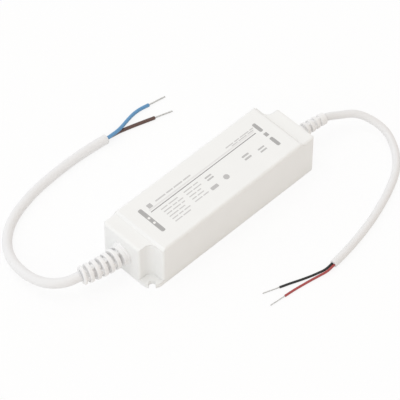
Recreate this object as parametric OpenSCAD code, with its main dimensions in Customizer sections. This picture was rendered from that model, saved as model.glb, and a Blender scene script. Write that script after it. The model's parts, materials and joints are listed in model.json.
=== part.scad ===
// Sealed LED driver: potted plastic housing, segmented strain reliefs and two sheathed cables.
// The origin is the middle of the housing's underside. X runs from the mains end to the lamp end.

/* [Housing] */
// Length of the housing along X
housing_length = 118; // [108:1:150]
// Width of the housing along Y
housing_width = 36; // [33:0.5:48]
// Height of the housing between the lowered ends of its top
housing_height = 27.2; // [25:0.2:36]
// How far the top steps down at each end
end_drop = 1.5; // [0.6:0.1:2.2]
// Length of the lowered part of the top at each end, with the slant of its step
end_length = 10.1; // [8:0.1:14]
// Thickness of the side and end walls
wall = 2; // [1.6:0.1:2.2]
// Thickness of the top wall
roof = 2; // [1.4:0.1:2]
// Radius of the edges round the top
edge_radius = 1.5; // [0.6:0.1:2]
// Radius of the two whole upright corners
corner_radius = 2.2; // [1.2:0.1:3]

/* [Mounting ears] */
// Length of each corner notch along X
notch_length = 8.2; // [7.6:0.1:9]
// Width of each corner notch along Y
notch_width = 9.2; // [8.4:0.1:10]
// Radius in the inner corner of a notch
notch_radius = 4; // [2:0.1:4.6]
// Radius of the upright edges beside a notch
notch_edge_radius = 1.4; // [0.6:0.1:1.8]
// Thickness of the ear below each notch
ear_thickness = 2.4; // [2:0.1:4]
// Radius of the ear's outer corner
ear_radius = 7; // [5:0.5:8]
// Width of the screw slot in each ear
slot_width = 3.6; // [3:0.1:4]
// Distance from the housing's two sides to the centre of the slot's round end
slot_inset = 3.1; // [2.8:0.1:3.6]

/* [Base cover] */
// Thickness of the plate that closes the bottom
cover_thickness = 2; // [1.5:0.1:2.5]
// How far the plate lies above the housing's underside
cover_recess = 0.3; // [0.1:0.1:0.6]
// Width of the rim round the plate
rim = 1.1; // [0.8:0.1:1.3]
// Play between the plate and the rim
cover_play = 0.15; // [0.1:0.05:0.3]
// Height of the four board posts on the plate
post_height = 3.7; // [3.4:0.1:4.2]
// Diameter of a board post
post_diameter = 4.4; // [3.6:0.1:4.6]
// Diameter of the pin on each post
pin_diameter = 2; // [1.6:0.1:2.4]
// Play between a pin and its hole in the board
pin_play = 0.2; // [0.1:0.05:0.4]

/* [Cable entries] */
// Height of both cable entries above the underside
entry_height = 13.5; // [12.8:0.1:14]
// Distance of each cable entry from the middle of its end wall
entry_offset = 3.5; // [2.5:0.1:4.5]
// Length of cable inside the wall
entry_reach = 4; // [3:0.1:4.4]

/* [Mains cable] */
// Diameter of the mains cable's sheath
input_cable_d = 5.4; // [4.6:0.1:6]
// Diameter of a mains core with its insulation
input_core_d = 2; // [1.6:0.1:2.2]
// Diameter of a mains core's bare strands
input_tip_d = 1; // [0.7:0.1:1.2]
// Length of bare strands on the mains cores
input_tip_length = 10.5; // [6:0.5:14]

/* [Lamp cable] */
// Diameter of the lamp cable's sheath
output_cable_d = 4.3; // [3.8:0.1:4.8]
// Diameter of a lamp core with its insulation
output_core_d = 1.3; // [1.2:0.1:1.8]
// Diameter of a lamp core's bare strands
output_tip_d = 0.7; // [0.6:0.1:1]
// Length of bare strands on the lamp cores
output_tip_length = 9.5; // [6:0.5:14]

/* [Mains strain relief] */
// Diameter of the flange against the wall
input_flange_d = 13; // [12.5:0.1:14]
// Thickness of the flange
input_flange = 1.3; // [0.8:0.1:2]
// Diameter of the relief at the wall
input_root_d = 11.8; // [11:0.1:12.4]
// Diameter of the relief at its tip
input_end_d = 10.2; // [8.6:0.1:10.8]
// Length of the plain part before the first slot
input_collar = 3.4; // [2.4:0.1:4]
// Number of slots
input_slots = 6; // [3:1:7]
// Width of a slot
input_slot = 1.5; // [0.8:0.1:1.8]
// Width of a ring between two slots
input_ring = 2.25; // [1.8:0.05:3]
// Length of the plain tip
input_end = 1.6; // [1.2:0.1:3]
// Radius of the sideways bend
input_bend = 80; // [60:5:160]
// Width of a web that joins two rings
input_web = 3; // [2:0.1:3.6]

/* [Lamp strain relief] */
// Diameter of the flange against the wall
output_flange_d = 9.2; // [8.8:0.1:11]
// Thickness of the flange
output_flange = 1; // [0.6:0.1:1.8]
// Diameter of the relief at the wall
output_root_d = 8; // [7.6:0.1:8.6]
// Diameter of the relief at its tip
output_end_d = 6.6; // [6:0.1:7.4]
// Length of the plain part before the first slot
output_collar = 2.2; // [1.8:0.1:3]
// Number of slots
output_slots = 5; // [3:1:6]
// Width of a slot
output_slot = 1.3; // [0.8:0.1:1.6]
// Width of a ring between two slots
output_ring = 2.1; // [1.6:0.05:2.8]
// Length of the plain tip
output_end = 3.4; // [1.6:0.1:4.4]
// Radius of the sideways bend
output_bend = 110; // [60:5:160]
// Width of a web that joins two rings
output_web = 2.2; // [1.6:0.1:2.8]

/* [Circuit board] */
// Thickness of the board
board_thickness = 1.6; // [1:0.1:2]
// Space between the board's ends and the walls of the notches
board_end_gap = 0.8; // [0.5:0.1:1.2]
// Space between the board's long edges and the walls
board_side_gap = 1; // [0.5:0.1:1.2]
// Distance of the post holes from the board's edges
post_inset = 3; // [2.8:0.1:3.4]
// How far the potting reaches below the board
potting_below = 1.7; // [1.6:0.1:2.2]

/* [Hidden] */
$fn = 64;

// Colours
WHITE = [0.94, 0.94, 0.93];
CABLE_WHITE = [0.91, 0.9, 0.9];
BLUE = [0.3, 0.5, 0.75];
BROWN = [0.34, 0.24, 0.21];
BLACK = [0.08, 0.08, 0.08];
RED = [0.66, 0.25, 0.24];
TINNED = [0.78, 0.78, 0.77];
BOARD_GREEN = [0.12, 0.4, 0.24];
RESIN = [0.25, 0.25, 0.26];
FERRITE = [0.2, 0.2, 0.21];
COPPER = [0.72, 0.42, 0.22];
METAL = [0.75, 0.76, 0.78];
YELLOW = [0.9, 0.75, 0.2];
DISC_BLUE = [0.15, 0.35, 0.65];
CERAMIC = [0.85, 0.8, 0.68];

// Housing
half_length = housing_length / 2;
half_width = housing_width / 2;
end_height = housing_height - end_drop;
step_start = half_length - end_length;
inner_step = step_start - roof * tan(22.5);
ledge = cover_recess + cover_thickness;
cut = 1;
edge_blend = 0.02;
step_blend = 0.06;

// Circuit board
board_bottom = ledge + post_height;
board_top = board_bottom + board_thickness;
board_length = housing_length - 2 * (notch_length + wall + board_end_gap);
board_width = housing_width - 2 * (wall + board_side_gap);
board_end = board_length / 2;
board_side = board_width / 2;
potting_bottom = board_bottom - potting_below;
pad_inset = 2.5;

// Room over the board, and what the tallest component and the heatsinks leave of it
room_height = housing_height - roof - board_top;
top_gap = 1.6;
heatsink_gap = 2.1;

// Catalogue sizes of the components, as diameter and length or height, or along X, Y and Z
fuse_size = [4, 10];
varistor_size = [9, 4];
x_capacitor_size = [6, 14, 12];
bridge_size = [8.4, 6.2, 3.2];
bulk_capacitor_size = [12.5, room_height - top_gap];
resistor_size = [3.5, 10];
chip_size = [5, 4, 1.5];
y_capacitor_size = [8, 3.5];
optocoupler_size = [4.6, 6.4, 3.5];
output_capacitor_size = [8, 14];
inductor_size = [9, 11];

// Filter choke: the ring's outer diameter, inner diameter and height, the wire and the gap in the winding
choke_size = [14, 8, 5];
choke_wire = 0.8;
choke_gap = 3;

// Transformer: the core along X, Y and Z, its legs, the bobbin, and the core's middle above the board
core_size = [20, 20, 6];
core_leg = 3;
core_middle = 6;
core_height = 8;
core_window = [core_size.x - 2 * core_leg, (core_size.y - core_middle) / 2 - core_leg];
bobbin_wall = 0.8;
bobbin_diameter = 13;
bobbin_tube = [core_middle + 2 * bobbin_wall, core_size.z + 2 * bobbin_wall];

// Power packages: the moulded body, the tab's thickness and height, the legs, and their heatsinks
package_size = [10, 4.4, 9];
package_legs = 1;
heatsink_thickness = 1.5;
transistor_heatsink_size = [20, room_height - heatsink_gap];
diode_heatsink_size = [16, room_height - heatsink_gap];
tab_margin = 0.1;
tab_rim = 1.1;
tab_size = [1.3, room_height - heatsink_gap - tab_margin - package_legs - package_size.z];
tab_hole = tab_size[1] - 2 * tab_rim;

// Rows along the board: the leads' room at the mains end, the filter, and six columns with equal gaps
component_gap = 0.5;
lead_room = 5.5;
lamp_room = 3;
filter_gap = 1.5;
varistor_x = -board_end + lead_room + varistor_size[1] / 2;
x_capacitor_x = varistor_x + varistor_size[1] / 2 + filter_gap + x_capacitor_size.x / 2;
fuse_x = -board_end + lead_room + component_gap + fuse_size[1] / 2;
bridge_x = fuse_x;
choke_outer = choke_size[0] + 2 * choke_wire;
filter_end = x_capacitor_x + x_capacitor_size.x / 2;
column_widths = choke_outer + resistor_size[0] + core_size.x + optocoupler_size.x
    + output_capacitor_size[0] + inductor_size[0];
row_gap = (board_end - filter_end - column_widths - lamp_room) / 6;
choke_x = filter_end + row_gap + choke_outer / 2;
bulk_capacitor_x = choke_x;
resistor_x = choke_x + choke_outer / 2 + row_gap + resistor_size[0] / 2;
transformer_x = resistor_x + resistor_size[0] / 2 + row_gap + core_size.x / 2;
transistor_x = transformer_x - core_size.x / 4;
isolation_x = transformer_x + core_size.x / 2 + row_gap + optocoupler_size.x / 2;
output_capacitor_x = isolation_x + optocoupler_size.x / 2 + row_gap + output_capacitor_size[0] / 2;
diode_x = output_capacitor_x;
inductor_x = output_capacitor_x + output_capacitor_size[0] / 2 + row_gap + inductor_size[0] / 2;

// Across the board: each row shares out the width that its components leave
cross_gap = (board_width - x_capacitor_size.y - bridge_size.y - fuse_size[0]) / 4;
x_capacitor_y = -board_side + cross_gap + x_capacitor_size.y / 2;
bridge_y = x_capacitor_y + x_capacitor_size.y / 2 + cross_gap + bridge_size.y / 2;
fuse_y = board_side - cross_gap - fuse_size[0] / 2;
varistor_y = -board_side + filter_gap + varistor_size[0] / 2;
side_gap = (housing_width - 2 * wall - choke_outer - bulk_capacitor_size[0]) / 3;
choke_y = half_width - wall - side_gap - choke_outer / 2;
bulk_capacitor_y = -half_width + wall + side_gap + bulk_capacitor_size[0] / 2;
transistor_heatsink_y = board_side - heatsink_thickness;
diode_heatsink_y = -board_side + heatsink_thickness;
package_depth = heatsink_thickness + package_size.y;
transformer_gap = (board_width - core_size.y - package_depth) / 2;
transformer_y = -board_side + transformer_gap + core_size.y / 2;
resistor_y = transformer_y + component_gap;
chip_y = transformer_y + core_size.y / 2 - chip_size.y / 2;
isolation_gap = 2;
y_capacitor_y = board_side - isolation_gap - y_capacitor_size[0] / 2;
optocoupler_y = y_capacitor_y - y_capacitor_size[0] / 2 - 2 * isolation_gap - optocoupler_size.y / 2;
lamp_gap = (board_width - 2 * output_capacitor_size[0] - package_depth) / 3;
output_capacitor_y = [
    board_side - 2 * lamp_gap - 1.5 * output_capacitor_size[0],
    board_side - lamp_gap - output_capacitor_size[0] / 2
];
inductor_y = board_side - lead_room - inductor_size[0] / 2;
leg_diameter = 0.8;
leg_spacing = 2.54;

// Each strain relief as one list: flange diameter, flange, root diameter, end diameter, collar, slots,
// slot, ring, end, bend, web, cable diameter
input_relief = [
    input_flange_d, input_flange, input_root_d, input_end_d, input_collar, input_slots,
    input_slot, input_ring, input_end, input_bend, input_web, input_cable_d
];
output_relief = [
    output_flange_d, output_flange, output_root_d, output_end_d, output_collar, output_slots,
    output_slot, output_ring, output_end, output_bend, output_web, output_cable_d
];
lip_thickness = 1.4;
neck_share = 0.7;
web_share = 0.55;
web_seat = 0.6;
ring_edge = 0.5;
function relief_flange_d(r) = r[0];
function relief_flange(r) = r[1];
function relief_root_d(r) = r[2];
function relief_end_d(r) = r[3];
function relief_collar(r) = r[4];
function relief_slots(r) = r[5];
function relief_slot(r) = r[6];
function relief_ring(r) = r[7];
function relief_end(r) = r[8];
function relief_bend(r) = r[9];
function relief_web(r) = r[10];
function relief_cable_d(r) = r[11];
function relief_pitch(r) = relief_slot(r) + relief_ring(r);
function slot_start(r, k) = relief_collar(r) + k * relief_pitch(r);
function relief_length(r) = slot_start(r, relief_slots(r)) - relief_ring(r) + relief_end(r);
function relief_ring_d(r, k) =
    relief_root_d(r) + (relief_end_d(r) - relief_root_d(r)) * (k + 1) / relief_slots(r);
function relief_web_d(r, k) =
    relief_cable_d(r) + (relief_ring_d(r, k) - relief_cable_d(r)) * web_share;
function relief_neck_d(r) = relief_cable_d(r) + (relief_root_d(r) - relief_cable_d(r)) * neck_share;
function bend_angle(distance, radius) = distance / radius * 180 / PI;

// Where each cable leaves its strain relief, and its direction there
function relief_tip(r) =
    let (a = bend_angle(relief_length(r), relief_bend(r)))
    [
        -half_length - relief_bend(r) * sin(a),
        entry_offset + relief_bend(r) * (1 - cos(a)),
        entry_height
    ];
function relief_direction(r) =
    let (a = bend_angle(relief_length(r), relief_bend(r))) [-cos(a), sin(a), 0];
function half_turn(v) = [-v.x, -v.y, v.z];

// Routes of the cables and cores: x from the end wall they leave by, y, and the height above where
// they would lie
cable_sides = 10;
core_sides = 8;
input_route = [
    [-32.5, 11, 9.2], [-38.5, 18, 7.4], [-41, 27, 5.6], [-40.5, 37, 3.4], [-38, 46.5, 1.6],
    [-33, 55, 0.4], [-25.5, 62, 0], [-17, 66.5, 0], [-7.5, 69.5, 0], [2.5, 71.5, 0],
    [12.5, 72.5, 0], [22.5, 73, 0], [32.5, 73, 0], [42.5, 72.5, 0], [52.5, 71.5, 0],
];
blue_route = [
    [56.5, 70.8, 2.5], [60.5, 71, 2.3], [65, 72, 1.8], [70, 73.5, 1.1], [75.5, 74.8, 0.4],
    [80.5, 75, 0], [86, 74, 0],
];
brown_route = [
    [57.5, 71.8, 0.3], [61, 71.4, 0.1], [64.5, 70.6, 0], [68, 69.6, 0], [72, 68.4, 0],
    [77, 66.8, 0], [82, 65.2, 0],
];
output_route = [
    [28, -8.5, 10], [36, -14, 9], [40.5, -22, 6.6], [41.5, -31, 4], [38, -40, 1.8],
    [32.5, -47, 0.4], [25, -52.5, 0], [16, -57, 0], [7, -60.5, 0], [-2, -63.5, 0],
    [-11.5, -66, 0], [-21, -68, 0], [-30.5, -69.5, 0], [-40, -70.5, 0],
];
black_route = [
    [-45, -69.8, 0.9], [-49, -68.6, 0.4], [-53.5, -67, 0], [-58.5, -65.2, 0], [-63.5, -63.2, 0],
    [-69.5, -61, 0],
];
red_route = [
    [-45, -71.3, 0.9], [-49, -70.4, 0.4], [-54, -69.2, 0], [-60, -68.2, 0], [-65.5, -67.4, 0],
    [-71.5, -66.8, 0],
];

// Small shared sizes
inner_radius = 0.6;
lead_bend = 3;
core_gap = 0.1;
can_edge = 0.6;
crimp_height = 1.6;
crimp_radius = 0.5;
cap_step = 0.3;
fuse_cap = 2.4;
foot_width = 1.5;
foot_height = 0.5;
package_radius = 0.3;
bridge_key = 1.2;
chip_pitch = 1.27;
chip_leg = 0.4;
chip_foot = 1;
disc_legs = 2;
drum_flange = 1.2;

// Closed outlines with an arc of the given radius at each corner
function unit(v) = v / norm(v);
function wrap(points, i) = points[(i + len(points)) % len(points)];
function to_before(points, i) = unit(wrap(points, i - 1) - points[i]);
function to_after(points, i) = unit(wrap(points, i + 1) - points[i]);
function half_angle(points, i) = acos(to_before(points, i) * to_after(points, i)) / 2;
function is_outer(points, i) = cross(to_after(points, i), to_before(points, i)) > 0;
function setback(points, radii, i) = radii[i] / tan(half_angle(points, i));
function arc_centre(points, radii, i) =
    points[i] + unit(to_before(points, i) + to_after(points, i)) * radii[i] / sin(half_angle(points, i));
function cut_corner(points, radii, i) =
    radii[i] == 0
    ? [points[i]]
    : [
        points[i] + to_before(points, i) * setback(points, radii, i),
        points[i] + to_after(points, i) * setback(points, radii, i)
    ];

module corner_arcs(points, radii, outer) {
    for (i = [0 : len(points) - 1])
        if (radii[i] > 0 && is_outer(points, i) == outer)
            translate(arc_centre(points, radii, i))
                circle(radii[i]);
}

module rounded_outline(points, radii) {
    difference() {
        union() {
            polygon([for (i = [0 : len(points) - 1]) each cut_corner(points, radii, i)]);
            corner_arcs(points, radii, true);
        }
        corner_arcs(points, radii, false);
    }
}

// Extrusions along X and along Y, both centred, of profiles drawn with Z up
module along_x(length) {
    rotate([90, 0, 90])
        linear_extrude(length, center = true)
            children();
}

module along_y(length) {
    rotate([90, 0, 0])
        linear_extrude(length, center = true)
            children();
}

// Straight cylinder along X from the origin
module rod_x(diameter, length) {
    rotate([0, 90, 0])
        cylinder(d = diameter, h = length);
}

// Straight cylinder along Y, centred
module rod_y(diameter, length) {
    rotate([90, 0, 0])
        cylinder(d = diameter, h = length, center = true);
}

// Block that stands on the plane through the origin
module standing_block(size) {
    translate([-size.x / 2, -size.y / 2, 0])
        cube(size);
}

// Housing outline in plan, with its two notches, drawn in from the outer faces
function plan_points(inset) =
    let (x = half_length - inset, y = half_width - inset)
    [
        [-x, notch_width - y], [notch_length - x, notch_width - y], [notch_length - x, -y], [x, -y],
        [x, y - notch_width], [x - notch_length, y - notch_width], [x - notch_length, y], [-x, y]
    ];
function plan_radii(inset) =
    let (
        edge = max(notch_edge_radius - inset, inner_radius),
        corner = max(corner_radius - inset, inner_radius),
        hollow = notch_radius + inset
    )
    [edge, hollow, edge, corner, edge, hollow, edge, corner];

module plan_outline(inset) {
    rounded_outline(plan_points(inset), plan_radii(inset));
}

// Long bar with rounded top edges, a little larger than the housing, so that only its edges shape the body
module roof_bar(height, margin) {
    side = half_width + margin;
    top = height + margin;
    along_x(4 * housing_length)
        rounded_outline(
            [[-side, -housing_length], [side, -housing_length], [side, top], [-side, top]],
            [0, 0, edge_radius, edge_radius]
        );
}

// Wide bar as high as the lowered ends, with rounded edges where they meet the end walls
module end_bar() {
    end = half_length + edge_blend;
    along_y(2 * housing_width)
        rounded_outline(
            [[-end, -cut], [end, -cut], [end, end_height], [-end, end_height]],
            [0, 0, edge_radius, edge_radius]
        );
}

// What the step at the lamp end takes off: all beyond its slanting face and outside the lowered end
module step_cut() {
    reach = end_drop + 2 * edge_radius;
    difference() {
        along_y(2 * housing_width)
            polygon([
                [step_start - cut, housing_height + cut], [step_start + reach, housing_height - reach],
                [housing_length, housing_height - reach], [housing_length, housing_height + cut]
            ]);
        intersection() {
            roof_bar(end_height, step_blend);
            end_bar();
        }
    }
}

module housing_body() {
    difference() {
        intersection() {
            linear_extrude(housing_height)
                plan_outline(0);
            roof_bar(housing_height, edge_blend);
        }
        step_cut();
        rotate(180)
            step_cut();
    }
}

// Ear below the notch at the mains end, with an open slot towards its corner
module ear() {
    length = notch_length + wall;
    width = notch_width + wall;
    translate([-half_length, -half_width, 0])
        difference() {
            linear_extrude(ear_thickness)
                rounded_outline([[0, 0], [length, 0], [length, width], [0, width]], [ear_radius, 0, 0, 0]);
            translate([slot_inset, slot_inset, -cut])
                linear_extrude(ear_thickness + 2 * cut) {
                    circle(d = slot_width);
                    rotate(225)
                        translate([0, -slot_width / 2])
                            square([2 * slot_inset, slot_width]);
                }
        }
}

// Room inside the walls and under the top
module cavity() {
    intersection() {
        translate([0, 0, -cut])
            linear_extrude(housing_height + cut)
                plan_outline(wall);
        along_y(housing_width)
            polygon([
                [-half_length, -2 * cut], [half_length, -2 * cut], [half_length, end_height - roof],
                [inner_step + end_drop, end_height - roof], [inner_step, housing_height - roof],
                [-inner_step, housing_height - roof], [-inner_step - end_drop, end_height - roof],
                [-half_length, end_height - roof]
            ]);
    }
}

// Puts what is drawn for the mains entry at its place on the end wall
module at_entry() {
    translate([-half_length, entry_offset, entry_height])
        children();
}

module housing() {
    color(WHITE)
        difference() {
            union() {
                housing_body();
                ear();
                rotate(180)
                    ear();
            }
            cavity();
            translate([0, 0, -cut])
                linear_extrude(cut + ledge)
                    plan_outline(rim);
            at_entry()
                translate([-cut, 0, 0])
                    rod_x(relief_neck_d(input_relief), wall + 2 * cut);
            rotate(180)
                at_entry()
                    translate([-cut, 0, 0])
                        rod_x(relief_neck_d(output_relief), wall + 2 * cut);
        }
}

// Repeats what is drawn at the four board posts
module at_posts() {
    for (x = [-1, 1], y = [-1, 1])
        translate([x * (board_end - post_inset), y * (board_side - post_inset), 0])
            children();
}

module posts() {
    at_posts() {
        translate([0, 0, ledge])
            cylinder(d = post_diameter, h = post_height);
        translate([0, 0, board_bottom])
            cylinder(d = pin_diameter, h = board_thickness);
    }
}

module base_cover() {
    color(WHITE) {
        translate([0, 0, cover_recess])
            linear_extrude(cover_thickness)
                plan_outline(rim + cover_play);
        posts();
    }
}

module circuit_board() {
    color(BOARD_GREEN)
        translate([0, 0, board_bottom])
            linear_extrude(board_thickness)
                difference() {
                    square([board_length, board_width], center = true);
                    at_posts()
                        circle(d = pin_diameter + pin_play);
                }
}

// Sweeps a profile along the bend of a strain relief, between two distances from the wall
module along_bend(relief, from, to) {
    bend = relief_bend(relief);
    at_entry()
        translate([0, bend, 0])
            rotate(-90 - bend_angle(from, bend))
                rotate_extrude(angle = -bend_angle(to - from, bend))
                    translate([bend, 0])
                        children();
}

// Stretch of cable that the strain relief and the wall hold
module cable_entry(relief, reach) {
    along_bend(relief, 0, reach)
        circle(d = relief_cable_d(relief));
    at_entry()
        rod_x(relief_cable_d(relief), wall + entry_reach);
}

// Round disc along Z from the origin, with its own radius on each edge
module rounded_disc(diameter, thickness, low_edge, high_edge) {
    radius = diameter / 2;
    rotate_extrude()
        rounded_outline(
            [[0, 0], [radius, 0], [radius, thickness], [0, thickness]],
            [0, low_edge, high_edge, 0]
        );
}

// Ring of a strain relief, square to its bend, between two distances from the wall
module relief_disc(relief, from, to, diameter) {
    bend = relief_bend(relief);
    a = bend_angle((from + to) / 2, bend);
    at_entry()
        translate([-bend * sin(a), bend * (1 - cos(a)), 0])
            rotate([0, -90, -a])
                translate([0, 0, (from - to) / 2])
                    rounded_disc(diameter, to - from, ring_edge, ring_edge);
}

// Flange and collar against the wall, the neck through it and the lip behind it
module relief_root(relief) {
    at_entry() {
        rotate([0, -90, 0]) {
            rounded_disc(relief_flange_d(relief), relief_flange(relief), 0, ring_edge);
            rounded_disc(relief_root_d(relief), relief_collar(relief), 0, ring_edge);
        }
        rod_x(relief_neck_d(relief), wall);
        translate([wall, 0, 0])
            rod_x(relief_root_d(relief), lip_thickness);
    }
}

// Rings behind the collar, each between two slots, the last one as the tip
module relief_rings(relief) {
    last = relief_slots(relief) - 1;
    for (k = [0 : last])
        relief_disc(
            relief,
            slot_start(relief, k) + relief_slot(relief),
            k == last ? relief_length(relief) : slot_start(relief, k + 1),
            relief_ring_d(relief, k)
        );
}

// Two webs across a slot on opposite sides, above and below or left and right, seated in both rings
module relief_webs(relief, k) {
    start = slot_start(relief, k);
    web = relief_web(relief);
    wide = relief_flange_d(relief);
    along_bend(relief, start - web_seat, start + relief_slot(relief) + web_seat)
        intersection() {
            circle(d = relief_web_d(relief, k));
            square(k % 2 == 0 ? [web, wide] : [wide, web], center = true);
        }
}

// Bend relief: rings along a bend, joined by webs that alternate by a quarter turn
module strain_relief(relief) {
    difference() {
        union() {
            relief_root(relief);
            relief_rings(relief);
            for (k = [0 : relief_slots(relief) - 1])
                relief_webs(relief, k);
        }
        cable_entry(relief, relief_length(relief) + 2 * cut);
    }
}

module input_strain_relief() {
    color(CABLE_WHITE)
        strain_relief(input_relief);
}

module output_strain_relief() {
    color(CABLE_WHITE)
        rotate(180)
            strain_relief(output_relief);
}

module input_cable_entry() {
    color(CABLE_WHITE)
        cable_entry(input_relief, relief_length(input_relief));
}

module output_cable_entry() {
    color(CABLE_WHITE)
        rotate(180)
            cable_entry(output_relief, relief_length(output_relief));
}

// Core that leaves the cable inside the housing, bends down and ends on the board
module inner_lead(diameter, side) {
    start = -half_length + wall + entry_reach;
    pad = -board_end + pad_inset;
    translate([0, entry_offset + side * (diameter + core_gap) / 2, 0]) {
        translate([start, 0, entry_height])
            rod_x(diameter, pad - lead_bend - start);
        translate([pad - lead_bend, 0, entry_height - lead_bend])
            rotate([90, 0, 0])
                rotate_extrude(angle = 90)
                    translate([lead_bend, 0])
                        circle(d = diameter);
        translate([pad, 0, board_top])
            cylinder(d = diameter, h = entry_height - lead_bend - board_top);
    }
}

module input_lead_blue() {
    color(BLUE)
        inner_lead(input_core_d, 1);
}

module input_lead_brown() {
    color(BROWN)
        inner_lead(input_core_d, -1);
}

module output_lead_black() {
    color(BLACK)
        rotate(180)
            inner_lead(output_core_d, 1);
}

module output_lead_red() {
    color(RED)
        rotate(180)
            inner_lead(output_core_d, -1);
}

// Free cables and cores: a tube swept through the points of a route
function last_of(list) = list[len(list) - 1];
function cord_points(start, route, wall_x, radius) =
    concat([start], [for (p = route) [wall_x + p.x, p.y, p.z + radius]]);
function cord_direction(points, first, i) =
    i == 0 ? first
    : i == len(points) - 1 ? unit(points[i] - points[i - 1])
    : unit(points[i + 1] - points[i - 1]);
function cord_side(direction) = unit(cross([0, 0, 1], direction));
function cord_ring(centre, direction, radius, sides) =
    let (side = cord_side(direction), up = cross(direction, side))
    [
        for (k = [0 : sides - 1])
            let (a = 360 * k / sides - 90)
            centre + radius * (cos(a) * side + sin(a) * up)
    ];

module cord(points, first, diameter, sides) {
    rings = len(points);
    polyhedron(
        points = [
            for (i = [0 : rings - 1])
                each cord_ring(points[i], cord_direction(points, first, i), diameter / 2, sides)
        ],
        faces = [
            [for (k = [0 : sides - 1]) k],
            for (i = [0 : rings - 2], k = [0 : sides - 1])
                let (a = i * sides + k, b = i * sides + (k + 1) % sides)
                each [[a, a + sides, b], [b, a + sides, b + sides]],
            [for (k = [sides - 1 : -1 : 0]) (rings - 1) * sides + k],
        ]
    );
}

// Bare strands that go on straight from the end of a core
module wire_tip(points, diameter, length) {
    direction = unit(last_of(points) - points[len(points) - 2]);
    color(TINNED)
        translate(last_of(points))
            rotate([0, acos(direction.z), atan2(direction.y, direction.x)])
                cylinder(d = diameter, h = length);
}

input_start = relief_direction(input_relief);
input_line = cord_points(relief_tip(input_relief), input_route, -half_length, input_cable_d / 2);
input_finish = cord_direction(input_line, input_start, len(input_line) - 1);
core_tilt = 35;
input_stack = (cos(core_tilt) * [0, 0, 1] - sin(core_tilt) * cord_side(input_finish))
    * (input_core_d + core_gap) / 2;
blue_line = cord_points(last_of(input_line) + input_stack, blue_route, -half_length, input_core_d / 2);
brown_line = cord_points(last_of(input_line) - input_stack, brown_route, -half_length, input_core_d / 2);
output_start = half_turn(relief_direction(output_relief));
output_tip = half_turn(relief_tip(output_relief));
output_line = cord_points(output_tip, output_route, half_length, output_cable_d / 2);
output_finish = cord_direction(output_line, output_start, len(output_line) - 1);
output_pair = cord_side(output_finish) * (output_core_d + core_gap) / 2;
black_line = cord_points(last_of(output_line) - output_pair, black_route, half_length, output_core_d / 2);
red_line = cord_points(last_of(output_line) + output_pair, red_route, half_length, output_core_d / 2);

module input_cable() {
    color(CABLE_WHITE)
        cord(input_line, input_start, input_cable_d, cable_sides);
}

module input_core_blue() {
    color(BLUE)
        cord(blue_line, input_finish, input_core_d, core_sides);
}

module input_core_brown() {
    color(BROWN)
        cord(brown_line, input_finish, input_core_d, core_sides);
}

module blue_wire_tip() {
    wire_tip(blue_line, input_tip_d, input_tip_length);
}

module brown_wire_tip() {
    wire_tip(brown_line, input_tip_d, input_tip_length);
}

module output_cable() {
    color(CABLE_WHITE)
        cord(output_line, output_start, output_cable_d, cable_sides);
}

module output_core_black() {
    color(BLACK)
        cord(black_line, output_finish, output_core_d, core_sides);
}

module output_core_red() {
    color(RED)
        cord(red_line, output_finish, output_core_d, core_sides);
}

module black_wire_tip() {
    wire_tip(black_line, output_tip_d, output_tip_length);
}

module red_wire_tip() {
    wire_tip(red_line, output_tip_d, output_tip_length);
}

// Puts a component on the board's upper face
module on_board(x, y) {
    translate([x, y, board_top])
        children();
}

module leg(height) {
    cylinder(d = leg_diameter, h = height);
}

// Can with rounded edges and a crimped groove near its foot
module capacitor_can(size) {
    radius = size[0] / 2;
    difference() {
        rotate_extrude()
            rounded_outline(
                [[0, 0], [radius, 0], [radius, size[1]], [0, size[1]]],
                [0, can_edge, can_edge, 0]
            );
        translate([0, 0, crimp_height])
            rotate_extrude()
                translate([radius + crimp_radius / 2, 0])
                    circle(crimp_radius);
    }
}

// Disc on two legs, its axis along X
module disc_component(size) {
    radius = size[0] / 2;
    translate([-size[1] / 2, 0, disc_legs + radius])
        rod_x(size[0], size[1]);
    for (side = [-1, 1])
        translate([0, side * leg_spacing, 0])
            leg(disc_legs + radius);
}

module fuse() {
    color(CERAMIC)
        on_board(fuse_x, fuse_y)
            translate([-fuse_size[1] / 2, 0, fuse_size[0] / 2]) {
                rod_x(fuse_size[0] - 2 * cap_step, fuse_size[1]);
                rod_x(fuse_size[0], fuse_cap);
                translate([fuse_size[1] - fuse_cap, 0, 0])
                    rod_x(fuse_size[0], fuse_cap);
            }
}

module varistor() {
    color(DISC_BLUE)
        on_board(varistor_x, varistor_y)
            disc_component(varistor_size);
}

module x_capacitor() {
    between_feet = x_capacitor_size.y - 2 * foot_width;
    color(YELLOW)
        on_board(x_capacitor_x, x_capacitor_y)
            difference() {
                standing_block(x_capacitor_size);
                translate([0, 0, -cut])
                    standing_block([x_capacitor_size.x + cut, between_feet, cut + foot_height]);
            }
}

module choke_core() {
    color(FERRITE)
        on_board(choke_x, choke_y)
            translate([0, 0, choke_wire])
                difference() {
                    cylinder(d = choke_size[0], h = choke_size[2]);
                    translate([0, 0, -cut])
                        cylinder(d = choke_size[1], h = choke_size[2] + 2 * cut);
                }
}

// Two banks of wire round the ring, one on each side of the gap
module choke_winding() {
    outer = choke_size[0] + 2 * choke_wire;
    height = choke_size[2] + 2 * choke_wire;
    color(COPPER)
        difference() {
            on_board(choke_x, choke_y)
                difference() {
                    cylinder(d = outer, h = height);
                    translate([0, 0, -cut])
                        cylinder(d = choke_size[1] - 2 * choke_wire, h = height + 2 * cut);
                    translate([0, 0, -cut])
                        standing_block([outer + cut, choke_gap, height + 2 * cut]);
                }
            choke_core();
        }
}

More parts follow.
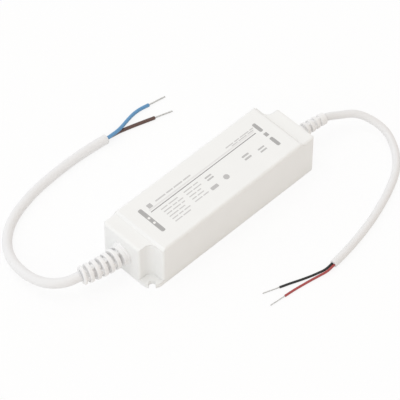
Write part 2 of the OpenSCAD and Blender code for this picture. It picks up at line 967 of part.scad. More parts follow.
module bridge_rectifier() {
    color(BLACK)
        on_board(bridge_x, bridge_y)
            linear_extrude(bridge_size.z)
                rounded_outline(
                    [
                        [-bridge_size.x / 2, -bridge_size.y / 2], [bridge_size.x / 2, -bridge_size.y / 2],
                        [bridge_size.x / 2, bridge_size.y / 2], [-bridge_size.x / 2, bridge_size.y / 2]
                    ],
                    [package_radius, package_radius, bridge_key, package_radius]
                );
}

module bulk_capacitor() {
    color(BLACK)
        on_board(bulk_capacitor_x, bulk_capacitor_y)
            capacitor_can(bulk_capacitor_size);
}

// Body with thicker ends, along Y
module snubber_resistor() {
    radius = resistor_size[0] / 2;
    bulge = radius * 2;
    color(CERAMIC)
        on_board(resistor_x, resistor_y)
            translate([0, 0, radius]) {
                rod_y(resistor_size[0] - 2 * cap_step, resistor_size[1]);
                for (side = [-1, 1])
                    translate([0, side * (resistor_size[1] - bulge) / 2, 0])
                        rod_y(resistor_size[0], bulge);
            }
}

// Flat package under the board
module controller_chip() {
    color(BLACK)
        translate([transformer_x, chip_y, board_bottom - chip_size.z]) {
            standing_block(chip_size);
            for (column = [-1.5 : 1 : 1.5])
                translate([column * chip_pitch, 0, chip_size.z - chip_leg])
                    standing_block([chip_leg, chip_size.y + 2 * chip_foot, chip_leg]);
        }
}

// Power package on its heatsink: origin on the board at the heatsink's face, package towards -Y
module power_package() {
    tab_height = package_size.z + tab_size[1];
    translate([0, 0, package_legs]) {
        translate([0, -package_size.y / 2, 0])
            standing_block(package_size);
        difference() {
            translate([0, -tab_size[0] / 2, 0])
                standing_block([package_size.x, tab_size[0], tab_height]);
            translate([0, 0, package_size.z + tab_size[1] / 2])
                rod_y(tab_hole, 4 * tab_size[0]);
        }
    }
    for (k = [-1 : 1])
        translate([k * leg_spacing, -package_size.y / 2, 0])
            leg(package_legs + cut);
}

// Plate with a hole for the package's screw: origin on the board at its front face
module heatsink(size) {
    difference() {
        translate([0, heatsink_thickness / 2, 0])
            standing_block([size[0], heatsink_thickness, size[1]]);
        translate([0, 0, package_legs + package_size.z + tab_size[1] / 2])
            rod_y(tab_hole, 4 * heatsink_thickness);
    }
}

module switching_transistor() {
    color(BLACK)
        on_board(transistor_x, transistor_heatsink_y)
            power_package();
}

module transistor_heatsink() {
    color(METAL)
        on_board(transistor_x, transistor_heatsink_y)
            heatsink(transistor_heatsink_size);
}

module output_diode() {
    color(BLACK)
        on_board(diode_x, diode_heatsink_y)
            rotate(180)
                power_package();
}

module diode_heatsink() {
    color(METAL)
        on_board(diode_x, diode_heatsink_y)
            rotate(180)
                heatsink(diode_heatsink_size);
}

// Puts what is drawn round the middle of the transformer's core at its place
module at_transformer() {
    on_board(transformer_x, transformer_y)
        translate([0, 0, core_height])
            children();
}

module transformer_core() {
    color(FERRITE)
        at_transformer()
            difference() {
                cube(core_size, center = true);
                for (side = [-1, 1])
                    translate([0, side * (core_middle + core_window.y) / 2, 0])
                        cube([core_window.x, core_window.y, core_size.z + 2 * cut], center = true);
            }
}

module transformer_bobbin() {
    color(BLACK)
        at_transformer()
            difference() {
                union() {
                    cube([core_window.x, bobbin_tube.x, bobbin_tube.y], center = true);
                    for (side = [-1, 1])
                        translate([side * (core_window.x - bobbin_wall) / 2, 0, 0]) {
                            rotate([0, 90, 0])
                                cylinder(d = bobbin_diameter, h = bobbin_wall, center = true);
                            translate([0, 0, -core_height])
                                standing_block([bobbin_wall, bobbin_tube.x, core_height]);
                        }
                }
                cube([core_size.x, core_middle, core_size.z], center = true);
            }
}

module transformer_winding() {
    length = core_window.x - 2 * bobbin_wall;
    color(YELLOW)
        at_transformer()
            difference() {
                rotate([0, 90, 0])
                    cylinder(d = bobbin_diameter - 2 * bobbin_wall, h = length, center = true);
                cube([core_size.x, bobbin_tube.x, bobbin_tube.y], center = true);
            }
}

module y_capacitor() {
    color(DISC_BLUE)
        on_board(isolation_x, y_capacitor_y)
            disc_component(y_capacitor_size);
}

// Raised body on four legs
module optocoupler() {
    color(BLACK)
        on_board(isolation_x, optocoupler_y) {
            translate([0, 0, foot_height])
                standing_block(optocoupler_size);
            for (x = [-1, 1], y = [-1, 1])
                translate([x * leg_spacing / 2, y * (optocoupler_size.y + leg_diameter) / 2, 0])
                    standing_block([leg_diameter, leg_diameter, foot_height + optocoupler_size.z / 2]);
        }
}

module output_capacitor_1() {
    color(BLACK)
        on_board(output_capacitor_x, output_capacitor_y[0])
            capacitor_can(output_capacitor_size);
}

module output_capacitor_2() {
    color(BLACK)
        on_board(output_capacitor_x, output_capacitor_y[1])
            capacitor_can(output_capacitor_size);
}

// Sleeved drum with a flange at each end
module output_inductor() {
    radius = inductor_size[0] / 2;
    color(FERRITE)
        on_board(inductor_x, inductor_y) {
            cylinder(r = radius - cap_step, h = inductor_size[1]);
            for (z = [0, inductor_size[1] - drum_flange])
                translate([0, 0, z])
                    cylinder(r = radius, h = drum_flange);
        }
}

// Everything that the potting flows round
module potted_pieces() {
    posts();
    circuit_board();
    at_posts()
        translate([0, 0, board_bottom])
            cylinder(d = pin_diameter + pin_play, h = board_thickness);
    for (end = [[0, input_relief], [180, output_relief]])
        rotate(end[0])
            at_entry() {
                rod_x(relief_root_d(end[1]), wall + lip_thickness);
                rod_x(relief_cable_d(end[1]), wall + entry_reach);
            }
    input_lead_blue();
    input_lead_brown();
    output_lead_black();
    output_lead_red();
    fuse();
    varistor();
    x_capacitor();
    choke_core();
    choke_winding();
    bridge_rectifier();
    bulk_capacitor();
    snubber_resistor();
    controller_chip();
    switching_transistor();
    transistor_heatsink();
    transformer_core();
    transformer_bobbin();
    transformer_winding();
    y_capacitor();
    optocoupler();
    output_diode();
    diode_heatsink();
    output_capacitor_1();
    output_capacitor_2();
    output_inductor();
}

module potting_compound() {
    color(RESIN)
        difference() {
            intersection() {
                cavity();
                translate([0, 0, potting_bottom])
                    standing_block([housing_length, housing_width, housing_height]);
            }
            potted_pieces();
        }
}

housing();
base_cover();
potting_compound();
circuit_board();
input_strain_relief();
input_cable_entry();
input_cable();
input_core_blue();
input_core_brown();
blue_wire_tip();
brown_wire_tip();
output_strain_relief();
output_cable_entry();
output_cable();
output_core_black();
output_core_red();
black_wire_tip();
red_wire_tip();
input_lead_blue();
input_lead_brown();
output_lead_black();
output_lead_red();
fuse();
varistor();
x_capacitor();
choke_core();
choke_winding();
bridge_rectifier();
bulk_capacitor();
snubber_resistor();
controller_chip();
switching_transistor();
transistor_heatsink();
transformer_core();
transformer_bobbin();
transformer_winding();
y_capacitor();
optocoupler();
output_diode();
diode_heatsink();
output_capacitor_1();
output_capacitor_2();
output_inductor();
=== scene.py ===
"""Sealed LED driver: cables, strands, print, materials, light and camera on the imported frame."""
import json
import math

import bpy
from mathutils import Matrix, Vector


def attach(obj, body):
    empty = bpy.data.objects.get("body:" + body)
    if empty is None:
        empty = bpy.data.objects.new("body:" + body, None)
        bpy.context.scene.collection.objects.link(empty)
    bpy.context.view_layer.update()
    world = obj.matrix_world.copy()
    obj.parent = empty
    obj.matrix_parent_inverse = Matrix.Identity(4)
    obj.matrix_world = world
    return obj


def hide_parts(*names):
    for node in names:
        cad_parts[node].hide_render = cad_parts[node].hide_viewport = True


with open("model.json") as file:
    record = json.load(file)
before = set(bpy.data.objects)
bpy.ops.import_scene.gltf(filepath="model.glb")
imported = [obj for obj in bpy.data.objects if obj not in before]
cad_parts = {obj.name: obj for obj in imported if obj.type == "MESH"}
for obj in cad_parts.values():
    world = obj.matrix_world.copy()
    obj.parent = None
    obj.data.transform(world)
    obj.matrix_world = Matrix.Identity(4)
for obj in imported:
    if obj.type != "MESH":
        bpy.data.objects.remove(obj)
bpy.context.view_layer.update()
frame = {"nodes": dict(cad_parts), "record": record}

MM = 0.001
UP = Vector((0, 0, 1))
WHITE = (1, 1, 1)
nodes = frame["nodes"]
scene = bpy.context.scene
scene.view_settings.view_transform = "Standard"

# Sizes of the solids in mm, as in part.scad
HALF_LENGTH = 59.0
TOP = 27.2
ENTRY_OFFSET, ENTRY_HEIGHT = 3.5, 13.5
INPUT_RELIEF, INPUT_BEND = 25.25, 80.0
OUTPUT_RELIEF, OUTPUT_BEND = 20.5, 110.0
INPUT_CABLE_R, INPUT_CORE_R, INPUT_TIP_R, INPUT_TIP_LENGTH = 2.7, 1.0, 0.5, 10.5
OUTPUT_CABLE_R, OUTPUT_CORE_R, OUTPUT_TIP_R, OUTPUT_TIP_LENGTH = 2.15, 0.65, 0.35, 9.5
CORE_GAP = 0.05                 # from a core to the middle of its cable
CORE_TILT = math.radians(35)    # of the mains cores, which lie one above the other

# Tubes: distance between rings in mm, points in a ring, rounding of the cut end in mm
SHEATH_STEP, SHEATH_SIDES, SHEATH_EDGE = 1.6, 28, 0.35
CORE_STEP, CORE_SIDES, CORE_EDGE = 0.9, 20, 0.12
EDGE_STEPS = 4

# Bare strands: their number, the rings and points of each, turns over the length, and mm hidden in the core
STRANDS, STRAND_STEPS, STRAND_SIDES = 7, 28, 8
STRAND_TURNS = 1.6
STRAND_SEAT = 0.3

# Print: height above the top, of the dots above it, and depth below it, in mm
PRINT_LIFT, DOT_LIFT, PRINT_SINK = 0.012, 0.02, 0.01


# ---------------------------------------------------------------- helpers

def add_mesh(name, vertices, faces, smooth=True):
    """A mesh object from points in mm."""
    mesh = bpy.data.meshes.new(name)
    mesh.from_pydata([Vector(v) * MM for v in vertices], [], faces)
    mesh.validate()
    mesh.polygons.foreach_set("use_smooth", [smooth] * len(mesh.polygons))
    obj = bpy.data.objects.new(name, mesh)
    scene.collection.objects.link(obj)
    return obj


def across(direction):
    """The two directions square to a direction: sideways and upwards."""
    side = UP.cross(direction).normalized()
    return side, direction.cross(side)


def ring(centre, direction, radius, sides):
    """Points round a centre, square to a direction; the first one is at the bottom."""
    side, up = across(direction)
    points = []
    for k in range(sides):
        a = 2 * math.pi * k / sides - math.pi / 2
        points.append(centre + radius * (math.cos(a) * side + math.sin(a) * up))
    return points


def closed_tube(rings, base=0):
    """Faces of a closed tube through rings of points that are numbered from a base."""
    sides = len(rings[0])
    last = base + (len(rings) - 1) * sides
    faces = []
    for first in range(base, last, sides):
        for k in range(sides):
            a, b = first + k, first + (k + 1) % sides
            faces.append((a, b, b + sides, a + sides))
    faces.append(tuple(reversed(range(base, base + sides))))
    faces.append(tuple(range(last, last + sides)))
    return faces


def smooth_line(points, first, step):
    """Points about a step apart on one smooth curve through the given points."""
    last = len(points) - 1
    tangents = []
    for i in range(last + 1):
        if i == 0:
            tangents.append(first.normalized())
        elif i == last:
            tangents.append((points[i] - points[i - 1]).normalized())
        else:
            tangents.append((points[i + 1] - points[i - 1]).normalized())
    line = [points[0].copy()]
    for i in range(last):
        a, b = points[i], points[i + 1]
        length = (b - a).length
        ta, tb = tangents[i] * length, tangents[i + 1] * length
        count = max(1, round(length / step))
        for k in range(1, count + 1):
            t = k / count
            line.append(
                a * (2 * t**3 - 3 * t**2 + 1) + ta * (t**3 - 2 * t**2 + t)
                + b * (3 * t**2 - 2 * t**3) + tb * (t**3 - t**2)
            )
    return line


def directions(line):
    """The direction of a line at each of its points."""
    last = len(line) - 1
    return [(line[min(i + 1, last)] - line[max(i - 1, 0)]).normalized() for i in range(last + 1)]


def tube(name, line, radius, sides, edge):
    """Tube along a line, with a cut end whose edge is rounded."""
    along = directions(line)
    rings = [ring(p, d, radius, sides) for p, d in zip(line, along)]
    end, finish = line[-1], along[-1]
    rings.pop()
    for k in range(EDGE_STEPS + 1):
        a = math.pi / 2 * k / EDGE_STEPS
        centre = end - finish * edge * (1 - math.sin(a))
        rings.append(ring(centre, finish, radius - edge * (1 - math.cos(a)), sides))
    return add_mesh(name, [v for r in rings for v in r], closed_tube(rings))


# ---------------------------------------------------------------- camera

def add_camera():
    """The photograph's view, for an image of 400 by 400."""
    azimuth, elevation, roll = (math.radians(v) for v in (-44.53, 50.87, 0.08))
    target, distance = Vector((-5.72, 1.56, 11.96)), 1444.6
    back = Vector((
        math.sin(azimuth) * math.cos(elevation),
        -math.cos(azimuth) * math.cos(elevation),
        math.sin(elevation),
    ))
    right = Vector((math.cos(azimuth), math.sin(azimuth), 0))
    up = back.cross(right)
    turned_right = math.cos(roll) * right + math.sin(roll) * up
    turned_up = math.cos(roll) * up - math.sin(roll) * right
    data = bpy.data.cameras.new("camera")
    data.sensor_width = 36
    data.lens = 252
    data.clip_end = 10
    camera = bpy.data.objects.new("camera", data)
    scene.collection.objects.link(camera)
    matrix = Matrix((turned_right, turned_up, back)).transposed().to_4x4()
    matrix.translation = (target + back * distance) * MM
    camera.matrix_world = matrix
    scene.camera = camera


add_camera()


# ---------------------------------------------------------------- cables

# Each point is x from the end wall, y, and the height above where the cord would lie on the floor, in mm
INPUT_ROUTE = [
    (-32.5, 11, 9.2), (-38.5, 18, 7.4), (-41, 27, 5.6), (-40.5, 37, 3.4), (-38, 46.5, 1.6),
    (-33, 55, 0.4), (-25.5, 62, 0), (-17, 66.5, 0), (-7.5, 69.5, 0), (2.5, 71.5, 0),
    (12.5, 72.5, 0), (22.5, 73, 0), (32.5, 73, 0), (42.5, 72.5, 0), (52.5, 71.5, 0),
]
BLUE_ROUTE = [
    (56.5, 70.8, 2.5), (60.5, 71, 2.3), (65, 72, 1.8), (70, 73.5, 1.1), (75.5, 74.8, 0.4),
    (80.5, 75, 0), (86, 74, 0),
]
BROWN_ROUTE = [
    (57.5, 71.8, 0.3), (61, 71.4, 0.1), (64.5, 70.6, 0), (68, 69.6, 0), (72, 68.4, 0),
    (77, 66.8, 0), (82, 65.2, 0),
]
OUTPUT_ROUTE = [
    (28, -8.5, 10), (36, -14, 9), (40.5, -22, 6.6), (41.5, -31, 4), (38, -40, 1.8),
    (32.5, -47, 0.4), (25, -52.5, 0), (16, -57, 0), (7, -60.5, 0), (-2, -63.5, 0),
    (-11.5, -66, 0), (-21, -68, 0), (-30.5, -69.5, 0), (-40, -70.5, 0),
]
BLACK_ROUTE = [
    (-45, -69.8, 0.9), (-49, -68.6, 0.4), (-53.5, -67, 0), (-58.5, -65.2, 0), (-63.5, -63.2, 0),
    (-69.5, -61, 0),
]
RED_ROUTE = [
    (-45, -71.3, 0.9), (-49, -70.4, 0.4), (-54, -69.2, 0), (-60, -68.2, 0), (-65.5, -67.4, 0),
    (-71.5, -66.8, 0),
]


def route(start, points, wall_x, radius):
    """A cord's points in the part's frame, from its start."""
    return [start] + [Vector((wall_x + x, y, z + radius)) for x, y, z in points]


def relief_tip(length, bend, turn):
    """Where a cable leaves its strain relief and its direction there; turn is -1 at the lamp end."""
    a = length / bend
    tip = Vector((
        -turn * (HALF_LENGTH + bend * math.sin(a)),
        turn * (ENTRY_OFFSET + bend * (1 - math.cos(a))),
        ENTRY_HEIGHT,
    ))
    return tip, Vector((-turn * math.cos(a), turn * math.sin(a), 0))


def strands(name, start, direction, radius, length):
    """Bare strands, one in the middle and the rest twisted round it, a little uneven at their ends."""
    side, up = across(direction)
    wire = radius / 3
    outer = STRANDS - 1
    pitch_radius = 2 * wire - 0.02
    vertices, faces = [], []
    for k in range(STRANDS):
        reach = length * (1 - 0.03 * (k * 5 % STRANDS) / outer)
        line = []
        for i in range(STRAND_STEPS + 1):
            t = i / STRAND_STEPS
            a = 2 * math.pi * (k / outer + STRAND_TURNS * t)
            out = 0 if k == outer else pitch_radius * (1 - 0.05 * t)
            line.append(start + direction * reach * t + out * (math.cos(a) * side + math.sin(a) * up))
        along = directions(line)
        rings = [ring(p, d, wire, STRAND_SIDES) for p, d in zip(line, along)]
        rings.append(ring(line[-1] + along[-1] * wire * 0.4, along[-1], wire * 0.6, STRAND_SIDES))
        faces += closed_tube(rings, len(vertices))
        vertices += [v for r in rings for v in r]
    return add_mesh(name, vertices, faces)


def add_cable(
    names, start, first, sheath_route, sheath_r, core_routes, core_r, tip_r, tip_length, wall_x, stacked
):
    """One sheathed cable with its two cores, stacked or side by side, and their bare strands."""
    node, relief, entry, cores, tips = names
    points = route(start, sheath_route, wall_x, sheath_r)
    line = smooth_line(points, first, SHEATH_STEP)
    finish = (points[-1] - points[-2]).normalized()
    sheath = tube(node + "_sheath", line, sheath_r, SHEATH_SIDES, SHEATH_EDGE)
    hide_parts(node)
    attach(sheath, "root")
    side = across(finish)[0]
    above = math.cos(CORE_TILT) * UP - math.sin(CORE_TILT) * side
    apart = (above if stacked else -side) * (core_r + CORE_GAP)
    for core, tip, core_route, sign in zip(cores, tips, core_routes, (1, -1)):
        core_start = points[-1] + apart * sign
        core_points = route(core_start, core_route, wall_x, core_r)
        core_line = smooth_line(core_points, finish, CORE_STEP)
        piece = tube(core + "_insulation", core_line, core_r, CORE_SIDES, CORE_EDGE)
        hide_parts(core)
        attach(piece, "root")
        ahead = (core_points[-1] - core_points[-2]).normalized()
        bare = strands(
            tip + "_strands", core_points[-1] - ahead * STRAND_SEAT, ahead, tip_r, tip_length + STRAND_SEAT
        )
        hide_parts(tip)
        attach(bare, "root")


add_cable(
    ("input_cable", "input_strain_relief", "input_cable_entry",
     ("input_core_blue", "input_core_brown"), ("blue_wire_tip", "brown_wire_tip")),
    *relief_tip(INPUT_RELIEF, INPUT_BEND, 1), INPUT_ROUTE, INPUT_CABLE_R,
    (BLUE_ROUTE, BROWN_ROUTE), INPUT_CORE_R, INPUT_TIP_R, INPUT_TIP_LENGTH, -HALF_LENGTH, True,
)
add_cable(
    ("output_cable", "output_strain_relief", "output_cable_entry",
     ("output_core_black", "output_core_red"), ("black_wire_tip", "red_wire_tip")),
    *relief_tip(OUTPUT_RELIEF, OUTPUT_BEND, -1), OUTPUT_ROUTE, OUTPUT_CABLE_R,
    (BLACK_ROUTE, RED_ROUTE), OUTPUT_CORE_R, OUTPUT_TIP_R, OUTPUT_TIP_LENGTH, HALF_LENGTH, False,
)


# ---------------------------------------------------------------- print on the top

def rounded_bar(x, y, length, width, radius):
    """Outline of a bar with round corners, centred on x, y."""
    points = []
    for cx, cy, start in ((1, 1, 0), (-1, 1, 90), (-1, -1, 180), (1, -1, 270)):
        for k in range(7):
            a = math.radians(start + 15 * k)
            points.append((
                x + cx * (length / 2 - radius) + radius * math.cos(a),
                y + cy * (width / 2 - radius) + radius * math.sin(a),
            ))
    return points


def word_row(x, y, widths, height, gap=0.7):
    """A row of short bars in place of words."""
    outlines = []
    for width in widths:
        outlines.append(rounded_bar(x + width / 2, y, width, height, height * 0.3))
        x += width + gap
    return outlines


def add_print(name, outlines, lift=PRINT_LIFT):
    """Thin closed fields of ink that stand proud of the top and reach just into it."""
    vertices, faces = [], []
    for outline in outlines:
        base, count = len(vertices), len(outline)
        vertices += [(x, y, TOP + lift) for x, y in outline]
        vertices += [(x, y, TOP - PRINT_SINK) for x, y in outline]
        faces.append(tuple(range(base, base + count)))
        faces.append(tuple(range(base + 2 * count - 1, base + count - 1, -1)))
        for k in range(count):
            n = (k + 1) % count
            faces.append((base + n, base + k, base + count + k, base + count + n))
    obj = add_mesh(name, vertices, faces, smooth=False)
    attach(obj, "root")
    return obj


NEAR_BAR_X, FAR_BAR_X = -41.2, 40.9
RULE_X, RULE_LENGTH = -0.1, 75.4
ROW_TOP, ROW_PITCH, ROW_HEIGHT = 2, 2.1, 0.7
# Columns of word rows: where they start in x, and the widths of the bars in each row
COLUMNS = (
    (-33, ((4.6, 6.4), (5.6, 3, 3.6), (3.8, 5.4, 2.2), (6.2, 4), (4, 3, 4.2), (5, 5.2))),
    (-17, ((6, 3.4), (4.2, 5.6), (5, 2.6), (3.2, 4.4), (5.2, 3.8))),
)
# Blocks in place of marks: x, y, length, width and corner radius
BLOCKS = (
    (-35.4, 7.9, 2.8, 2.8, 0.3),
    (-0.6, 1, 4.4, 1, 0.3),
    (-0.6, -0.9, 4.4, 1, 0.3),
    (-3, -6.4, 4.8, 2.2, 0.5),
    (6, -5.8, 3.4, 3.4, 1.68),
    (23, -2.4, 4.6, 1.2, 0.4),
    (23, -4.6, 4.6, 1.2, 0.4),
    (32.4, -4.6, 4.4, 1, 0.3),
    (32.4, -6.6, 4.4, 1, 0.3),
)

lines = word_row(-31.2, 8, (7, 4.5, 6, 5.2), 0.9)
lines += word_row(19.2, 8, (5.4, 3.6, 6.2, 2.6), ROW_HEIGHT)
lines += word_row(22.4, 6.85, (4.4, 5.8, 4.2), 0.6)
for column_x, rows in COLUMNS:
    for row, widths in enumerate(rows):
        lines += word_row(column_x, ROW_TOP - ROW_PITCH * row, widths, ROW_HEIGHT)
prints = {
    "print_bars": add_print("print_bars", [
        rounded_bar(NEAR_BAR_X, 0.4, 2.5, 18.6, 0.9),
        rounded_bar(FAR_BAR_X, 6.4, 2.2, 6.8, 0.8),
        rounded_bar(FAR_BAR_X, 0, 2.2, 2.6, 0.2),
        rounded_bar(FAR_BAR_X, -6.4, 2.2, 6.8, 0.8),
    ]),
    "print_dots": add_print(
        "print_dots", [rounded_bar(NEAR_BAR_X, y, 1.5, 1.5, 0.74) for y in (2.3, -1.7)], DOT_LIFT
    ),
    "print_rule": add_print("print_rule", [rounded_bar(RULE_X, 4.4, RULE_LENGTH, 0.55, 0.15)]),
    "print_pale_rule": add_print("print_pale_rule", [rounded_bar(RULE_X, 5.85, RULE_LENGTH, 0.9, 0.2)]),
    "print_lines": add_print("print_lines", lines),
    "print_blocks": add_print("print_blocks", [rounded_bar(*block) for block in BLOCKS]),
}


# ---------------------------------------------------------------- materials

def new_material(name):
    """A material with its node tree, its shader and the place on the object."""
    material = bpy.data.materials.new(name)
    material.use_nodes = True
    tree = material.node_tree
    shader = tree.nodes["Principled BSDF"]
    place = tree.nodes.new("ShaderNodeTexCoord")
    return material, tree, shader, place.outputs["Object"]


def noise(tree, place, scale, detail=3.0):
    """Noise whose scale is the number of cells in a metre."""
    node = tree.nodes.new("ShaderNodeTexNoise")
    node.inputs["Scale"].default_value = scale
    node.inputs["Detail"].default_value = detail
    tree.links.new(place, node.inputs["Vector"])
    return node.outputs["Fac"]


def ramp(tree, value, low, high, colours):
    """Colour that runs between two colours where a value runs from low to high."""
    node = tree.nodes.new("ShaderNodeValToRGB")
    for element, position, colour in zip(node.color_ramp.elements, (low, high), colours):
        element.position = position
        element.color = (*colour, 1)
    tree.links.new(value, node.inputs["Fac"])
    return node.outputs["Color"]


def spread(tree, value, low, high):
    """Maps a value of 0 to 1 to a range."""
    node = tree.nodes.new("ShaderNodeMapRange")
    node.inputs["To Min"].default_value = low
    node.inputs["To Max"].default_value = high
    tree.links.new(value, node.inputs["Value"])
    return node.outputs["Result"]


def add_bump(tree, shader, height, strength, distance, edge=0):
    """Fine relief of a depth in mm, and soft edges of a radius in mm where one is given."""
    node = tree.nodes.new("ShaderNodeBump")
    node.inputs["Strength"].default_value = strength
    node.inputs["Distance"].default_value = distance * MM
    tree.links.new(height, node.inputs["Height"])
    tree.links.new(node.outputs["Normal"], shader.inputs["Normal"])
    if edge:
        soft = tree.nodes.new("ShaderNodeBevel")
        soft.samples = 8
        soft.inputs["Radius"].default_value = edge * MM
        tree.links.new(soft.outputs["Normal"], node.inputs["Normal"])


def moulded(name, colour, change, roughness, grain, depth, patch=60, edge=0):
    """Moulded or extruded plastic: a faint change of colour and gloss over patches, and a fine grain."""
    material, tree, shader, place = new_material(name)
    darker = tuple(c * (1 - change) for c in colour)
    tint = ramp(tree, noise(tree, place, patch), 0.3, 0.7, (darker, colour))
    gloss = spread(tree, noise(tree, place, patch * 4), roughness - 0.06, roughness + 0.06)
    tree.links.new(tint, shader.inputs["Base Color"])
    tree.links.new(gloss, shader.inputs["Roughness"])
    add_bump(tree, shader, noise(tree, place, grain), 0.35, depth, edge)
    return material


def metal(name, colour, roughness, stretch):
    """Drawn or rolled metal with fine streaks."""
    material, tree, shader, place = new_material(name)
    mapping = tree.nodes.new("ShaderNodeMapping")
    mapping.inputs["Scale"].default_value = stretch
    tree.links.new(place, mapping.inputs["Vector"])
    streaks = noise(tree, mapping.outputs["Vector"], 900, 4)
    darker = tuple(c * 0.82 for c in colour)
    tree.links.new(ramp(tree, streaks, 0.3, 0.7, (darker, colour)), shader.inputs["Base Color"])
    tree.links.new(spread(tree, streaks, roughness - 0.08, roughness + 0.08), shader.inputs["Roughness"])
    add_bump(tree, shader, streaks, 0.3, 0.02)
    shader.inputs["Metallic"].default_value = 1
    return material


def ink(name, grey, change):
    """Thin matt print with a slightly uneven coat."""
    material, tree, shader, place = new_material(name)
    paler = tuple(min(1.0, c * (1 + change)) for c in grey)
    tint = ramp(tree, noise(tree, place, 900), 0.35, 0.65, (grey, paler))
    tree.links.new(tint, shader.inputs["Base Color"])
    tree.links.new(spread(tree, noise(tree, place, 400), 0.5, 0.62), shader.inputs["Roughness"])
    add_bump(tree, shader, noise(tree, place, 2600), 0.25, 0.01)
    return material


def dress(obj, material):
    """Gives an object one material."""
    obj.data.materials.clear()
    obj.data.materials.append(material)


by_slot = {
    "housing_white": moulded("housing_white", (0.872, 0.882, 0.878), 0.02, 0.42, 2600, 0.03, edge=0.8),
    "cable_white": moulded("cable_white", (0.81, 0.813, 0.82), 0.015, 0.5, 1800, 0.02, edge=0.2),
    "core_blue": moulded("core_blue", (0.12, 0.31, 0.55), 0.12, 0.36, 2200, 0.02, 150),
    "core_brown": moulded("core_brown", (0.115, 0.06, 0.048), 0.12, 0.36, 2200, 0.02, 150),
    "core_black": moulded("core_black", (0.012, 0.012, 0.011), 0.2, 0.38, 2200, 0.02, 150),
    "core_red": moulded("core_red", (0.4, 0.06, 0.06), 0.12, 0.36, 2200, 0.02, 150),
    "tinned_copper": metal("tinned_copper", (0.66, 0.65, 0.63), 0.36, (1, 1, 1)),
    "board_green": moulded("board_green", (0.02, 0.14, 0.06), 0.25, 0.4, 1500, 0.05, 120),
    "potting_grey": moulded("potting_grey", (0.06, 0.06, 0.065), 0.2, 0.6, 700, 0.1, 80),
    "ferrite": moulded("ferrite", (0.04, 0.04, 0.045), 0.3, 0.7, 1600, 0.06, 200),
    "copper_wire": metal("copper_wire", (0.6, 0.26, 0.1), 0.3, (1, 1, 4)),
    "black_plastic": moulded("black_plastic", (0.02, 0.02, 0.02), 0.2, 0.55, 1800, 0.04, 150),
    "heatsink_metal": metal("heatsink_metal", (0.7, 0.71, 0.73), 0.34, (0.2, 2, 2)),
    "yellow_plastic": moulded("yellow_plastic", (0.7, 0.45, 0.05), 0.1, 0.42, 1500, 0.04, 120),
    "blue_lacquer": moulded("blue_lacquer", (0.03, 0.12, 0.4), 0.15, 0.3, 900, 0.06, 150),
    "pale_ceramic": moulded("pale_ceramic", (0.7, 0.62, 0.45), 0.1, 0.6, 1400, 0.05, 150),
}
# The reliefs and cable entries get a slightly lighter white than the sheaths: painted light that lifts the
# shade in their grooves
relief_white_painted_fill = moulded("relief_white_painted_fill", (0.868, 0.87, 0.874), 0.015, 0.5, 1800, 0.02, edge=0.2)
by_print = {
    "print_bars": ink("ink_grey", (0.40, 0.40, 0.40), 0.06),
    "print_dots": ink("ink_bare", (0.85, 0.85, 0.84), 0.02),
    "print_rule": ink("ink_rule", (0.3, 0.3, 0.3), 0.08),
    "print_pale_rule": ink("ink_pale", (0.76, 0.76, 0.76), 0.03),
    "print_lines": ink("ink_lines", (0.58, 0.58, 0.58), 0.05),
    "print_blocks": ink("ink_blocks", (0.5, 0.5, 0.5), 0.05),
}

for part in frame["record"]["subparts"]:
    dress(nodes[part["node"]], by_slot[part["material_slot"]])
for end in ("input", "output"):
    # painted light: the reliefs take the lighter white that lifts the shade in their grooves
    dress(nodes[end + "_strain_relief"], relief_white_painted_fill)
    dress(nodes[end + "_cable_entry"], relief_white_painted_fill)
    dress(bpy.data.objects[end + "_cable_sheath"], by_slot["cable_white"])
for core in ("input_core_blue", "input_core_brown", "output_core_black", "output_core_red"):
    dress(bpy.data.objects[core + "_insulation"], by_slot[core.split("_", 1)[1]])
for tip in ("blue", "brown", "black", "red"):
    dress(bpy.data.objects[tip + "_wire_tip_strands"], by_slot["tinned_copper"])
for name, obj in prints.items():
    dress(obj, by_print[name])


# ---------------------------------------------------------------- floor, world and light

FLOOR_HALF, FLOOR_Z = 3000, -0.02   # mm
FLOOR_WHITE = 0.86                  # share of plain white where the floor is seen; the rest takes the shadow
DIM_END, BRIGHT_END = -0.8, 0.1     # where the world's light is dimmest and brightest, along its direction
AIM = Vector((0, 0, 0.01))          # what the lamps point at, in metres


def seen_rays(tree):
    """1 for rays that see the background directly, in a reflection or through something."""
    path = tree.nodes.new("ShaderNodeLightPath")
    first = tree.nodes.new("ShaderNodeMath")
    second = tree.nodes.new("ShaderNodeMath")
    first.operation = second.operation = "MAXIMUM"
    tree.links.new(path.outputs["Is Camera Ray"], first.inputs[0])
    tree.links.new(path.outputs["Is Glossy Ray"], first.inputs[1])
    tree.links.new(first.outputs["Value"], second.inputs[0])
    tree.links.new(path.outputs["Is Transmission Ray"], second.inputs[1])
    return second.outputs["Value"]


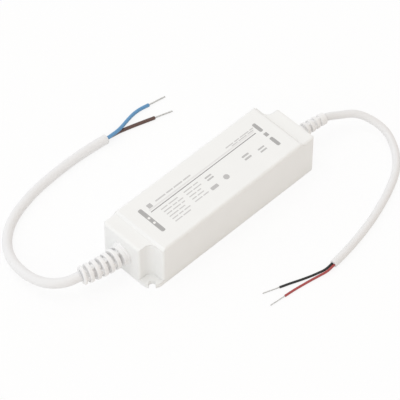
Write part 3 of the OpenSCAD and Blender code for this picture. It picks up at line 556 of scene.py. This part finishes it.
def add_floor():
    """A pale floor that is seen as nearly white and keeps the part's shadow."""
    corners = ((-1, -1), (1, -1), (1, 1), (-1, 1))
    floor = add_mesh(
        "floor", [(x * FLOOR_HALF, y * FLOOR_HALF, FLOOR_Z) for x, y in corners], [(0, 1, 2, 3)], smooth=False
    )
    material = bpy.data.materials.new("floor")
    material.use_nodes = True
    tree = material.node_tree
    shader = tree.nodes["Principled BSDF"]
    shader.inputs["Base Color"].default_value = (0.92, 0.92, 0.92, 1)
    shader.inputs["Roughness"].default_value = 0.9
    shader.inputs["Specular IOR Level"].default_value = 0.1
    white = tree.nodes.new("ShaderNodeEmission")
    white.inputs["Strength"].default_value = 1
    share = tree.nodes.new("ShaderNodeMath")
    share.operation = "MULTIPLY"
    share.inputs[1].default_value = FLOOR_WHITE
    tree.links.new(seen_rays(tree), share.inputs[0])
    mix = tree.nodes.new("ShaderNodeMixShader")
    tree.links.new(share.outputs["Value"], mix.inputs["Fac"])
    tree.links.new(shader.outputs["BSDF"], mix.inputs[1])
    tree.links.new(white.outputs["Emission"], mix.inputs[2])
    tree.links.new(mix.outputs["Shader"], tree.nodes["Material Output"].inputs["Surface"])
    dress(floor, material)


def add_world(level, dim, bright):
    """White light, dimmer and warmer from the side away from a direction; the background itself is white."""
    world = bpy.data.worlds.new("studio")
    scene.world = world
    world.use_nodes = True
    tree = world.node_tree
    light = tree.nodes["Background"]
    light.inputs["Strength"].default_value = level
    place = tree.nodes.new("ShaderNodeTexCoord")
    toward = tree.nodes.new("ShaderNodeVectorMath")
    toward.operation = "DOT_PRODUCT"
    toward.inputs[1].default_value = bright
    tree.links.new(place.outputs["Generated"], toward.inputs[0])
    share = tree.nodes.new("ShaderNodeMapRange")
    share.inputs["From Min"].default_value = DIM_END
    share.inputs["From Max"].default_value = BRIGHT_END
    tree.links.new(toward.outputs["Value"], share.inputs["Value"])
    tree.links.new(ramp(tree, share.outputs["Result"], 0, 1, (dim, WHITE)), light.inputs["Color"])
    white = tree.nodes.new("ShaderNodeBackground")
    white.inputs["Color"].default_value = (*WHITE, 1)
    white.inputs["Strength"].default_value = 1
    mix = tree.nodes.new("ShaderNodeMixShader")
    tree.links.new(seen_rays(tree), mix.inputs["Fac"])
    tree.links.new(light.outputs["Background"], mix.inputs[1])
    tree.links.new(white.outputs["Background"], mix.inputs[2])
    tree.links.new(mix.outputs["Shader"], tree.nodes["World Output"].inputs["Surface"])


def add_lamp(name, place, size, power):
    """A round white lamp at a place in metres, pointed at the part."""
    data = bpy.data.lights.new(name, "AREA")
    data.shape = "DISK"
    data.size = size
    data.energy = power
    lamp = bpy.data.objects.new(name, data)
    scene.collection.objects.link(lamp)
    lamp.location = place
    lamp.rotation_euler = (AIM - Vector(place)).to_track_quat("-Z", "Y").to_euler()


add_floor()
add_world(level=0.98, dim=(0.71, 0.625, 0.54), bright=(-0.45, 0.89, 0))
add_lamp("key", (-0.3, 0.3, 2), size=1.2, power=5.2)
add_lamp("left", (-1.8, -0.2, 0.8), size=1.2, power=2.4)
